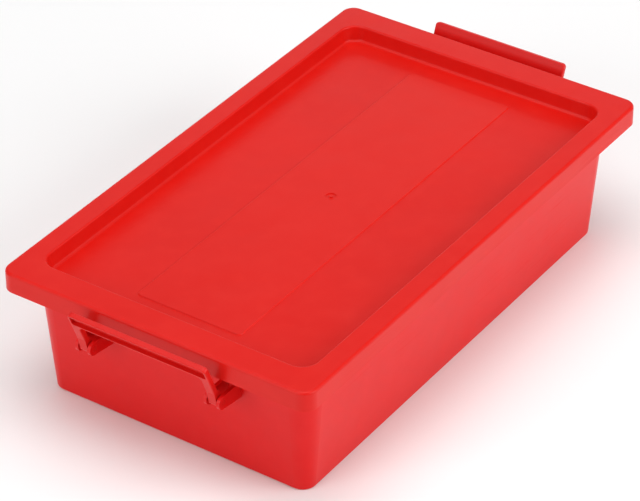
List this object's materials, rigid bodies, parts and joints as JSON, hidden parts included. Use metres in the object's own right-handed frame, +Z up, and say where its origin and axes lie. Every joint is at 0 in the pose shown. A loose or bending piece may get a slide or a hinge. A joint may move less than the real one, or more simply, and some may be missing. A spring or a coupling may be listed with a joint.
{
  "type": "art supply box",
  "caption": "Shallow rectangular plastic storage box with drafted walls, a lift-off lid with a sunken panel, and a swing handle on each short end.",
  "frame": {"origin": "middle of the underside of the tub", "axes": "+X along the box towards the far short end, +Y across the box, +Z up out of the lid"},
  "size_m": [0.3612, 0.2, 0.0843],
  "materials": {
    "tub_plastic": "semi-gloss moulded red polypropylene",
    "lid_plastic": "semi-gloss moulded red polypropylene, fine grain on the sunken panel",
    "handle_plastic": "semi-gloss moulded red polypropylene"
  },
  "bodies": {
    "box": {"tub": "tub_plastic"},
    "lid": {"lid": "lid_plastic"},
    "near_handle": {"handle_near": "handle_plastic"},
    "far_handle": {"handle_far": "handle_plastic"}
  },
  "joints": [
    {"name": "lid_lift", "type": "slide", "parent": "box", "child": "lid", "axis": [0, 0, 1], "range_m": [0, 0.12]},
    {"name": "near_handle_swing", "type": "hinge", "parent": "box", "child": "near_handle", "pos_m": [-0.1683, 0, 0.057], "axis": [0, -1, 0], "range_deg": [-15, 185]},
    {"name": "far_handle_swing", "type": "hinge", "parent": "box", "child": "far_handle", "pos_m": [0.1683, 0, 0.057], "axis": [0, 1, 0], "range_deg": [-15, 185]}
  ]
}
